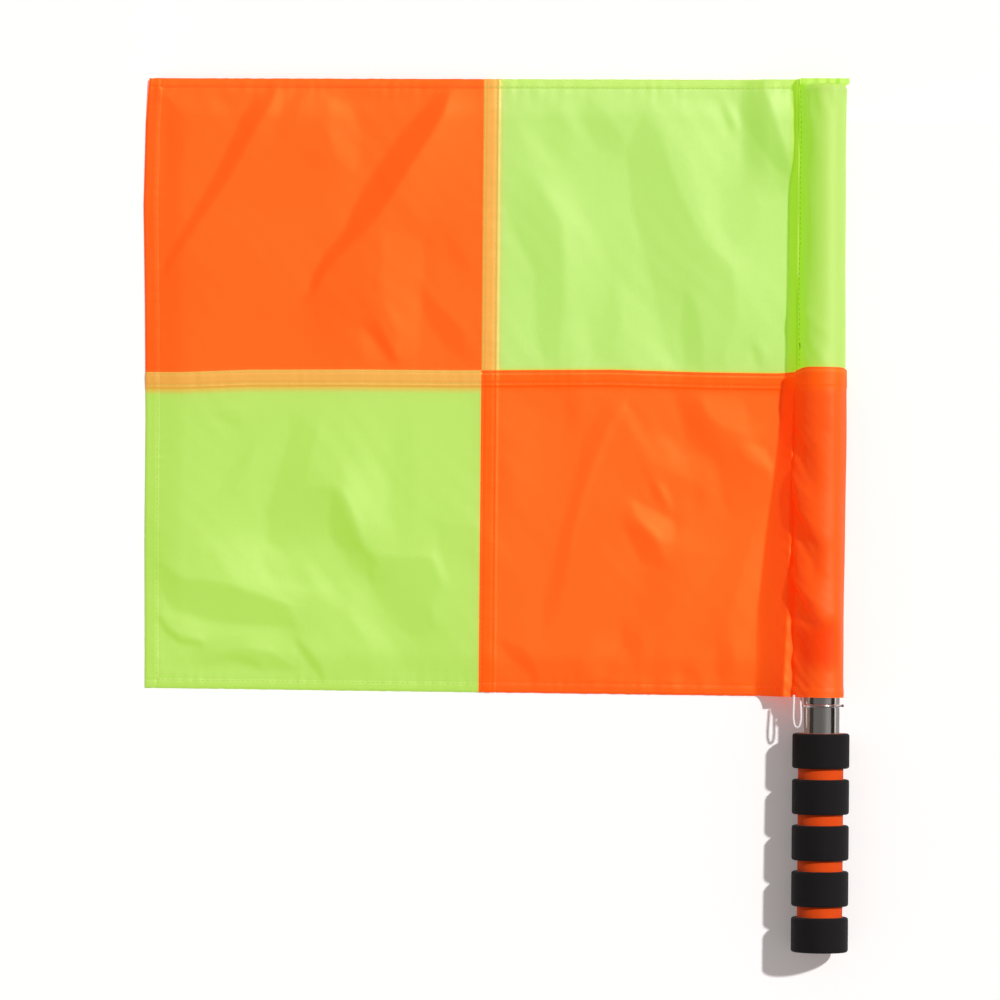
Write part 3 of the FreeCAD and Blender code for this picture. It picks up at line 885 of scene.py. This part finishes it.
def cloth(name, dye, doubled_and_painted_shade_dye, lapped_dye, line_dye, line_at, painted_light, lapped_painted_light, through, sleeve=False):
    """Thin woven polyester, a little see-through and satiny. Its daylight dye is fluorescent, and the
    material gives out light of its own colour as a painted glow, which keeps the cloth bright in its
    shade. Where cloth of the other colour lies below it in a seam, that shows through, and most in a
    line near the seam's edge. Beside the pole, and on the sleeve over the pole and near its hem, the
    colour is painted deeper: painted shade."""
    finish = new_finish(name)
    cut = finish.node("ShaderNodeUVMap", {"uv_map": "cut"}, {})
    across = finish.axis(cut, "X")
    up = finish.axis(cut, "Y")

    # Threads, and slubs along both ways of the weave.
    long_slubs = finish.node("ShaderNodeMapping", {}, {"Vector": cut, "Scale": (1.0, 0.04, 1.0)})
    cross_slubs = finish.node("ShaderNodeMapping", {}, {"Vector": cut, "Scale": (0.04, 1.0, 1.0)})
    slubs = finish.noise(long_slubs, slub_scale, 2.0) + finish.noise(cross_slubs, slub_scale, 2.0)
    weave = finish.worked("SINE", across * thread_scale) * finish.worked("SINE", up * thread_scale)
    tone = slubs * 0.12 + finish.noise(cut, patch_scale, 3.0) * 0.1 + weave * 0.03 - 0.17
    bump = finish.bump(weave * 0.5 + slubs * 0.9, 0.35, 0.00008)

    # Where the cloth lies over cloth: in the hems, in the laps and along their edges. Beside the pole,
    # in the cleft by the sleeve, the colour is painted deeper: painted shade.
    painted_shade_near_pole = band(finish, across, 385.5, 392.5 if sleeve else 398.5, 4.0)
    base = finish.mix(painted_shade_near_pole, dye, doubled_and_painted_shade_dye)
    if sleeve:
        # On the sleeve, painted shade: the colour is darker over the pole, and in a patch near the bottom
        # hem.
        painted_shade_over_pole = band(finish, across, 400.0, 414.5, 6.0) * 0.12
        painted_shade_near_hem = band(finish, up, 18.0, 43.0, 7.0) * band(finish, across, 396.0, 418.0, 7.0)
        painted_shade_sleeve_dye = (dye[0] * 0.9, doubled_and_painted_shade_dye[1] * 0.4, doubled_and_painted_shade_dye[2] * 0.2)
        base = finish.mix(finish.worked("MAXIMUM", painted_shade_over_pole, painted_shade_near_hem), base, painted_shade_sleeve_dye)
    inner_up = band(finish, up, long_hem, flag_height - long_hem, 0.5)
    inner_across = band(finish, across, fly_hem, 1000.0, 0.5)
    base = finish.mix((1.0 - inner_up * inner_across) * 0.3, base, doubled_and_painted_shade_dye)
    side_lap = band(finish, across, seam_across - 0.5, lap_right + 0.8, 0.6, 3.0)
    long_lap = band(finish, up, lap_foot - 3.0, seam_up, 2.6, 0.6)
    in_lap = finish.worked("MAXIMUM", side_lap, long_lap)
    base = finish.mix(in_lap, base, lapped_dye)
    side_line = band(finish, across, seam_across + line_at, seam_across + line_at + 0.9, 0.5)
    long_line = band(finish, up, seam_up, seam_up + 1.2, 0.7)
    low_line = band(finish, up, seam_up - 2.6, seam_up - 1.2, 0.6)
    on_line = finish.worked("MAXIMUM", finish.worked("MAXIMUM", side_line, long_line), low_line)
    base = finish.mix(on_line * 0.8, base, line_dye)
    shade = tuple(share * 0.8 for share in dye)
    base = finish.mix(0.5 - tone * 2.5, base, finish.mix(0.12, base, shade))

    face = finish.node(
        "ShaderNodeBsdfPrincipled",
        {},
        {
            "Base Color": base,
            "Metallic": 0.1 if sleeve else 0.3,
            "Roughness": 0.48,
            "Specular IOR Level": 0.25,
            # Painted light: the cloth gives out light of its own colour, which keeps it bright in its
            # shade.
            "Emission Color": finish.mix(in_lap, painted_light, lapped_painted_light),
            "Emission Strength": 1.0,
            "Normal": bump,
        },
    )
    back = finish.node("ShaderNodeBsdfTranslucent", {}, {"Color": through, "Normal": bump})
    return finish.show(finish.node("ShaderNodeMixShader", {}, {0: see_through, 1: face, 2: back}))


# Each cloth's colours: its own dye; a deeper dye for its hems, which also paints shade beside the pole; and
# the colours of its painted light, which it gives out as a glow.
orange_dyes = {
    "dye": (0.8, 0.215, 0.018),
    "doubled_and_painted_shade_dye": (0.8, 0.16, 0.009),
    "lapped_dye": (0.8, 0.175, 0.006),
    "line_dye": (0.8, 0.26, 0.03),
    "line_at": 0.0,
    "painted_light": (0.52, 0.017, 0.0),
    "lapped_painted_light": (0.52, 0.017, 0.0),
    "through": (1.0, 0.12, 0.008),
}
yellow_green_dyes = {
    "dye": (0.47, 0.46, 0.3),
    "doubled_and_painted_shade_dye": (0.45, 0.42, 0.1),
    "lapped_dye": (0.58, 0.4, 0.125),
    "line_dye": (0.66, 0.43, 0.15),
    "line_at": 2.2,
    "painted_light": (0.25, 0.54, 0.0),
    "lapped_painted_light": (0.6, 0.24, 0.0),
    "through": (0.46, 0.8, 0.12),
}
deeper_yellow_green_dyes = {
    **yellow_green_dyes,
    "dye": (0.38, 0.42, 0.235),
    "doubled_and_painted_shade_dye": (0.36, 0.4, 0.17),
    "lapped_dye": (0.57, 0.41, 0.13),
    "line_dye": (0.62, 0.4, 0.13),
    "painted_light": (0.33, 0.565, 0.0),
    "through": (0.4, 0.75, 0.1),
}
orange_cloth = cloth("orange_cloth", **orange_dyes)
yellow_green_cloth = cloth("yellow_green_cloth", **yellow_green_dyes)
deeper_yellow_green_cloth = cloth("deeper_yellow_green_cloth", **deeper_yellow_green_dyes)

# The mesh is finest near these lines.
across_lines = (0.0, fly_hem, seam_across + 1.0, lap_right)
up_lines = (0.0, long_hem, lap_foot, seam_up, flag_height - long_hem, flag_height)

# A hoist panel ends where it is stitched to itself, which isn't straight: past its last straight
# column, its columns are spaced out to there. Its flat width is up to where the sleeve starts.
last_straight = 362.0
columns_past = 39
sleeve_start = 16.0

# Each panel: its first and last place across and up, and its cloth.
for name, low, high, bottom, top, slot_name, material in (
    ("upper_fly", 0.0, lap_right, lap_foot, flag_height, "orange_cloth", orange_cloth),
    ("upper_hoist", seam_across, None, lap_foot, flag_height, "yellow_green_cloth", yellow_green_cloth),
    ("lower_fly", 0.0, lap_right, 0.0, seam_up, "yellow_green_cloth", deeper_yellow_green_cloth),
    ("lower_hoist", seam_across, None, 0.0, seam_up, "orange_cloth", orange_cloth),
):
    ups = places(bottom, top, cloth_step, up_lines)
    if high is None:
        straight = places(low, flag_length - sleeve_radius, cloth_step, across_lines)
        straight = straight[straight < last_straight]
        share = np.linspace(0.0, 1.0, columns_past + 1)[1:]
        ends = flag_length - sleeve_radius - tail(ups)
        bent = straight[-1] + (ends[:, None] - straight[-1]) * share
        across = np.hstack((np.tile(straight, (len(ups), 1)), bent))
        up = np.repeat(ups[:, None], across.shape[1], axis=1)
        width = flag_length - sleeve_radius - seam_across - sleeve_start
    else:
        across, up = np.meshgrid(places(low, high, cloth_step, across_lines), ups)
        width = high - low
    spots = panel_spots(name, across, up)
    flat = np.stack((across, up), axis=-1)
    piece = woven_sheet(f"{name}_cloth", spots, flat, material, f"{name}_panel")
    width / 1000
    (top - bottom) / 1000


# Sleeve. The hoist edge of each cloth is turned round the pole and stitched down to itself. The
# lower one is cut a little full, so it bags and puckers along its stitching. The top end is drawn
# flat beyond the pole's tip and stitched shut.

sleeve_radius_seen = 11.75
sleeve_slack_right = 0.8
sleeve_girth = 76.0
sleeve_columns = 76
sleeve_top = 361.8
sleeve_flat = flag_length - sleeve_radius - upper_tail
sleeve_end_length = 10.1
sleeve_end_right = 14.3
sleeve_crease_width = 72.0
sleeve_crease_reach = 15.0
sleeve_crease_gain = 1.45
sleeve_crease_rest = 1.8
pleat_height = 0.5
pleat_reach = 9.0
sleeve_sag = 1.4
lower_lap_rise = 3.4
# The sleeve's cloths have a deeper dye and a stronger glow than the panels' cloths: painted shade and
# painted light, which even out the shading round the pole.
orange_sleeve_cloth = cloth(
    "orange_sleeve_cloth",
    **{**orange_dyes, "dye": (0.8, 0.155, 0.014), "painted_light": (0.56, 0.024, 0.0)},
    sleeve=True,
)
yellow_green_sleeve_cloth = cloth(
    "yellow_green_sleeve_cloth",
    **{**yellow_green_dyes, "dye": (0.46, 0.37, 0.25), "painted_light": (0.27, 0.68, 0.0)},
    sleeve=True,
)

# Puckers of the upper sleeve: places in millimetres round it from the stitching and up from the
# bottom, then the height, and the reach on the left and on the right.
sleeve_folds = [
    ([(2, 361), (4, 350), (5, 338)], 0.9, 2, 3),
    ([(9, 361), (10, 352), (12, 338)], 0.8, 2, 3),
    ([(17, 361), (18, 355), (20, 345)], 0.6, 2, 3),
    ([(27, 361), (27, 355), (28, 349)], 0.5, 2, 3),
    ([(3, 352), (12, 340), (17, 322)], 0.5, 4, 5),
    ([(2, 318), (9, 300), (12, 280)], 0.35, 3, 5),
    ([(2, 260), (10, 236), (13, 214)], 0.6, 4, 5),
    ([(2, 245), (7, 226), (12, 206)], 0.6, 3, 4),
    ([(4, 232), (14, 222), (24, 214)], 0.5, 3, 4),
    ([(2, 216), (7, 206), (9, 196)], 0.9, 2, 3),
    ([(12, 212), (19, 203), (24, 192)], 0.6, 3, 4),
    ([(20, 355), (22, 300), (21, 240)], 0.3, 7, 7),
]

# The lower sleeve is puckered more sharply, in facets, whose outlines are in the same places.
sleeve_facets = [
    ([(3, 188), (10, 186), (12, 180), (5, 179)], -0.20, 40),
    ([(2, 179), (26, 179), (26, 174), (8, 172)], 0.17, 60),
    ([(3, 172), (26, 176), (26, 158), (14, 158), (5, 163)], 0.17, 30),
    ([(0, 168), (5, 160), (12, 148), (8, 147), (1, 156)], 0.48, 40),
    ([(0, 157), (6, 149), (16, 126), (17, 118), (11, 119), (3, 133), (0, 146)], -0.34, 30),
    ([(14, 156), (20, 150), (22, 128), (18, 126), (15, 140)], 0.17, 20),
    ([(0, 133), (5, 126), (9, 117), (5, 116), (0, 124)], 0.34, 40),
    ([(1, 119), (8, 114), (16, 101), (21, 90), (16, 88), (7, 100), (1, 111)], 0.58, 40),
    ([(0, 104), (7, 97), (16, 84), (17, 71), (11, 74), (4, 87), (0, 97)], -0.41, 30),
    ([(1, 94), (5, 91), (9, 80), (6, 78), (1, 86)], 0.37, 40),
    ([(17, 97), (22, 97), (23, 72), (18, 72)], 0.37, 10),
    ([(0, 76), (6, 70), (17, 57), (23, 43), (17, 41), (8, 52), (1, 63)], 0.77, 40),
    ([(1, 60), (8, 53), (16, 42), (11, 39), (3, 47)], -0.41, 30),
    ([(1, 46), (6, 42), (9, 32), (5, 30), (1, 37)], 0.37, 40),
    ([(8, 41), (16, 43), (24, 49), (34, 50), (34, 24), (26, 15), (17, 13), (9, 24)], 0.27, 60),
    ([(1, 34), (5, 32), (9, 24), (5, 22), (1, 28)], -0.41, 30),
    ([(1, 22), (4, 20), (9, 10), (6, 9), (1, 15)], 0.41, 40),
    ([(3, 16), (8, 14), (12, 5), (6, 4)], -0.34, 30),
]


def ridge(x, y, crest, height, left_reach, right_reach):
    """A small fold along a crest that dies away at both ends."""
    crest = np.array(crest, float)
    spans = np.linalg.norm(crest[1:] - crest[:-1], axis=1)
    starts = np.concatenate(([0.0], np.cumsum(spans)[:-1]))
    nearest = np.full(x.shape, 1e9)
    side = np.zeros(x.shape)
    share = np.zeros(x.shape)
    for a, b, span, start in zip(crest[:-1], crest[1:], spans, starts):
        way = (b - a) / span
        run = np.clip((x - a[0]) * way[0] + (y - a[1]) * way[1], 0.0, span)
        off_x = x - a[0] - run * way[0]
        off_y = y - a[1] - run * way[1]
        off = np.hypot(off_x, off_y)
        nearer = off < nearest
        nearest = np.where(nearer, off, nearest)
        side = np.where(nearer, way[0] * off_y - way[1] * off_x, side)
        share = np.where(nearer, (start + run) / spans.sum(), share)
    reach = left_reach + (right_reach - left_reach) * smooth(side / (left_reach + right_reach) + 0.5)
    fade = 0.25 + 0.75 * smooth(share / 0.25) * smooth((1.0 - share) / 0.35)
    return height * fade * np.exp(-((nearest / reach) ** 2))


def sleeve_round(up, share):
    """The sleeve's outside at one height: places across and up from the axis, and how far round."""
    reach = sleeve_radius_seen + 0.8 * np.exp(-(((up - 150.0) / 75.0) ** 2))
    end = np.hypot(tail(up), drop(up))
    touch = np.pi - np.arccos(reach / end)
    straight = np.sqrt(end**2 - reach**2)
    girth = 2.0 * straight + 2.0 * touch * reach
    gone = share * girth
    angle = touch - (gone - straight) / reach
    on_arc = (gone >= straight) & (gone <= girth - straight)
    first = gone < straight
    short = np.where(first, gone, girth - gone) / straight
    touch_x = reach * np.cos(touch)
    touch_z = reach * np.sin(touch) * np.where(first, 1.0, -1.0)
    x = np.where(on_arc, reach * np.cos(angle), -end + (touch_x + end) * short)
    z = np.where(on_arc, reach * np.sin(angle), touch_z * short)
    turn = np.arctan2(drop(up), tail(up))
    return x * np.cos(turn) - z * np.sin(turn), x * np.sin(turn) + z * np.cos(turn), gone


sleeve_creases = crease_heights(sleeve_facets, sleeve_crease_width, seam_up, sleeve_crease_reach)


def sleeve_spots(part, up, share):
    """Points of the sleeve's outside with its puckers, its slack and its seat on the table, and how
    far round it they lie."""
    x, z, gone = sleeve_round(up, share)
    out = np.zeros(up.shape)
    if part == "upper":
        for crest, tall, left, right in sleeve_folds:
            out += ridge(gone, up, crest, tall, left, right)
    else:
        puckers = sleeve_crease_gain * crease(sleeve_creases, gone, up) + sleeve_crease_rest
        bulge = 0.5 * (puckers + np.sqrt(puckers**2 + 0.3))
        out += bulge * smooth((38.0 - gone) / 12.0) * smooth((gone + 1.5) / 5.0)
        pleats = np.sin((up + 1.2 * gone) / 1.35 + 1.7 * np.sin(up / 9.0) + 1.1 * np.sin(up / 23.0 + 1.0))
        pleats *= np.exp(-gone / pleat_reach) * smooth(gone / 1.5) * smooth((178.0 - up) / 12.0)
        out += pleat_height * pleats
    out += 0.12 * gathered(up * 0.8, 5.1, gone, 4.0)
    out += 0.15 * (1.0 + np.sin(up / 17.0 + gone / 9.0) * np.sin(up / 29.0 - gone / 13.0))
    out -= 0.3 * np.exp(-((gone / 1.2) ** 2))
    if part == "lower":
        out += 0.25 + 0.3 * smooth((long_hem + 0.6 - up) / layer_ramp)
        out += 0.12 * gathered(gone, 6.2, up - long_hem, 3.5)
        out -= groove(up, bottom_line)
        out += 0.25 * smooth((up - lap_foot) / layer_ramp + 1.0)
    else:
        out += 0.3 * gathered(gone, 7.7, sleeve_top - up, 4.0) - 0.35
        free = smooth((gone - 3.0) / 7.0) * smooth((64.0 - gone) / 7.0)
        out -= 1.1 * free * smooth((up - sleeve_top + 2.2) / 2.2)
    room = np.sqrt(np.maximum((x + 2.0) ** 2 + z**2, 1.0))
    x = x + out * (x + 2.0) / room
    z = z + out * z / room
    x = x + sleeve_slack_right * smooth((x + 4.0) / 14.0)
    sag = sleeve_sag * smooth((170.0 - up) / 170.0) * smooth(-z / 12.0)
    z = np.maximum(z - sag, table_below(up) + 0.15)
    y = up
    if part == "lower":
        y = up + lower_lap_rise * smooth((z + 9.0) / 22.0) * smooth((up - seam_up + 25.0) / 25.0)
    return np.stack((x, skewed(x, y), z), axis=-1), gone


share = np.linspace(0.0, 1.0, sleeve_columns)
for part, bottom, top, material, slot_name in (
    ("lower", 0.0, seam_up, orange_sleeve_cloth, "orange_cloth"),
    ("upper", lap_foot, sleeve_top, yellow_green_sleeve_cloth, "yellow_green_cloth"),
):
    shares, up = np.meshgrid(share, places(bottom, top, cloth_step, up_lines))
    spots, gone = sleeve_spots(part, up, shares)
    flat = np.stack((gone + sleeve_flat, up), axis=-1)
    piece = woven_sheet(f"{part}_sleeve_cloth", spots, flat, material, f"{part}_sleeve")
    size = (sleeve_girth / 1000, (top - bottom) / 1000)

# The end goes on from the sleeve's top ring, and within a short way it is drawn flat.
close_ups = sleeve_top + np.array([0.0, 0.3, 0.7, 1.1])
shares, up = np.meshgrid(share, np.append(close_ups, np.linspace(sleeve_top + 1.5, flag_height, 8)))
round_spots, gone = sleeve_spots("upper", np.minimum(up, sleeve_top), shares)
half = np.where(shares < 0.5, shares, 1.0 - shares) * 2.0
upper_side = np.where(shares < 0.5, 1.0, -1.0)
end_x = -upper_tail + (upper_tail + sleeve_end_right) * half**0.96
end_z = upper_side * (0.25 + 0.55 * np.sin(np.pi * np.clip(half, 0.0, 1.0)) ** 0.5)
end_z = end_z + 0.8 * gathers(end_x * 1.2, 4.4) * np.sin(np.pi * half)
drawn = smooth((up - sleeve_top) / 1.7)
x = round_spots[..., 0] * (1.0 - drawn) + end_x * drawn
z = round_spots[..., 2] * (1.0 - drawn) + end_z * drawn
spots = np.stack((x, skewed(x, up), z), axis=-1)
flat = np.stack((gone + sleeve_flat, up), axis=-1)
piece = woven_sheet(
    "sleeve_end_cloth", spots, flat, yellow_green_sleeve_cloth, "sleeve_end_hem"
)
size = (sleeve_girth / 1000, sleeve_end_length / 1000)


# Stitching. Polyester thread runs along every hem and seam in lockstitch. One stitch is modelled
# and laid in place all along each line, sunk half way into the cloth.

stitch_pitch = 3.0
stitch_length = 2.2
thread_thickness = 0.36
stitch_girth = 70.0
sleeve_line_share = 0.012
bartack_ups = (206.4, 209.7)
bartack_step = 0.5
bartack_shares = (0.008, 0.04)
past_seam = 1.0
past_pole = 20.0

half_thread = thread_thickness / 2
bpy.ops.object.select_all(action="DESELECT")
bpy.ops.mesh.primitive_uv_sphere_add(segments=4, ring_count=4, radius=1.0, location=origin)
bpy.ops.object.mode_set(mode="EDIT")
bpy.ops.mesh.select_all(action="SELECT")
bpy.ops.transform.resize(value=(half_thread, half_thread, stitch_length / 2))
bpy.ops.object.mode_set(mode="OBJECT")
pattern = bpy.context.object
stitch_points = np.array([tuple(vertex.co) for vertex in pattern.data.vertices])
stitch_faces = [list(face.vertices) for face in pattern.data.polygons]
bpy.data.objects.remove(pattern)


def thread(name, dye, painted_light):
    """Twisted polyester thread, dyed to match, which also gives out a painted glow of its own colour."""
    finish = new_finish(name)
    fibres = finish.noise(finish.place(), 1800.0, 2.0)
    darker = tuple(share * 0.7 for share in dye)
    return finish.surface(
        {
            "Base Color": finish.mix(fibres, darker, dye),
            "Roughness": 0.5,
            "Emission Color": painted_light,
            "Emission Strength": 1.0,
        }
    )


# The last colour of each thread is its painted light.
orange_thread = thread("orange_thread", (0.9, 0.2, 0.03), (0.4, 0.0, 0.0))
yellow_green_thread = thread("yellow_green_thread", (0.52, 0.6, 0.2), (0.1, 0.16, 0.0))
olive_thread = thread("olive_thread", (0.36, 0.36, 0.06), (0.05, 0.12, 0.0))
brown_thread = thread("brown_thread", (0.42, 0.16, 0.04), (0.03, 0.0, 0.0))


def sewn(name, lines, material):
    """Stitches along some lines. A line is the places where its stitches start, and where they end."""
    starts, ends = (np.concatenate(spots) for spots in zip(*lines))
    along = (ends - starts) / np.linalg.norm(ends - starts, axis=1)[:, None]
    side = np.cross(along, (0.0, 0.0, 1.0))
    side /= np.linalg.norm(side, axis=1)[:, None]
    above = np.cross(side, along)
    spots = (starts + ends)[:, None, :] / 2
    for column, way in ((0, side), (1, above), (2, along)):
        spots = spots + stitch_points[None, :, column, None] * way[:, None, :]
    faces = []
    for number in range(len(starts)):
        faces += [[corner + number * len(stitch_points) for corner in face] for face in stitch_faces]
    flag_piece(name, spots, faces, material)


def along_line(low, high):
    """Where the stitches of a line start and end."""
    first = np.arange(low, high - stitch_length, stitch_pitch)
    return first, first + stitch_length


def line_across(panel, low, high, up):
    """A line of stitches from left to right on a panel."""
    return [panel_spots(panel, place, np.full(place.shape, up)) for place in along_line(low, high)]


def line_up(panel, across, low, high):
    """A line of stitches up a panel."""
    return [panel_spots(panel, np.full(place.shape, across), place) for place in along_line(low, high)]


hoist_start = seam_across + past_seam
hoist_end = flag_length - sleeve_radius - past_pole

upper_fly_lines = [
    line_up("upper_fly", fly_line, seam_up, top_line),
    line_across("upper_fly", fly_line, seam_across, top_line),
]
upper_hoist_lines = [
    line_across("upper_hoist", hoist_start, hoist_end, top_line),
    *[line_up("upper_hoist", across, seam_up + 1.0, flag_height - 2.0) for across in seam_lines_across],
]
lower_fly_lines = [
    line_up("lower_fly", fly_line, bottom_line, seam_up - 1.0),
    line_across("lower_fly", fly_line, seam_across, bottom_line),
    *[line_across("lower_fly", 2.0, seam_across, up) for up in seam_lines_up],
]
lower_hoist_lines = [
    *[line_across("lower_hoist", hoist_start, hoist_end, up) for up in (bottom_line, *seam_lines_up)],
    *[line_up("lower_hoist", across, 2.0, seam_up - 2.0) for across in seam_lines_across],
]
sewn("upper_fly_stitches", upper_fly_lines, orange_thread)
sewn("upper_hoist_stitches", upper_hoist_lines, yellow_green_thread)
sewn("lower_fly_stitches", lower_fly_lines, yellow_green_thread)
sewn("lower_hoist_stitches", lower_hoist_lines, orange_thread)


def line_round(part, up, low, high):
    """A line of stitches round the sleeve, between two shares of the way round."""
    shares = np.arange(low, high, stitch_pitch / stitch_girth)
    ups = np.full(shares.shape, up)
    return [sleeve_spots(part, ups, shares + step)[0] for step in (0.0, stitch_length / stitch_girth)]


def line_along_sleeve(part, low, high):
    """A line of stitches up the sleeve, beside where it is stitched to itself."""
    return [
        sleeve_spots(part, place, np.full(place.shape, sleeve_line_share))[0]
        for place in along_line(low, high)
    ]


lower_sleeve_lines = [
    line_round("lower", bottom_line, 0.02, 0.96),
    line_along_sleeve("lower", 2.0, seam_up - 4.0),
]
upper_sleeve_lines = [line_along_sleeve("upper", seam_up + 4.0, sleeve_top - 2.0)]
sewn("lower_sleeve_stitches", lower_sleeve_lines, orange_thread)
sewn("upper_sleeve_stitches", upper_sleeve_lines, olive_thread)
ups = np.arange(*bartack_ups, bartack_step)
bartack = [sleeve_spots("upper", ups, np.full(ups.shape, place))[0] for place in bartack_shares]
sewn("sleeve_bartack", [bartack], brown_thread)
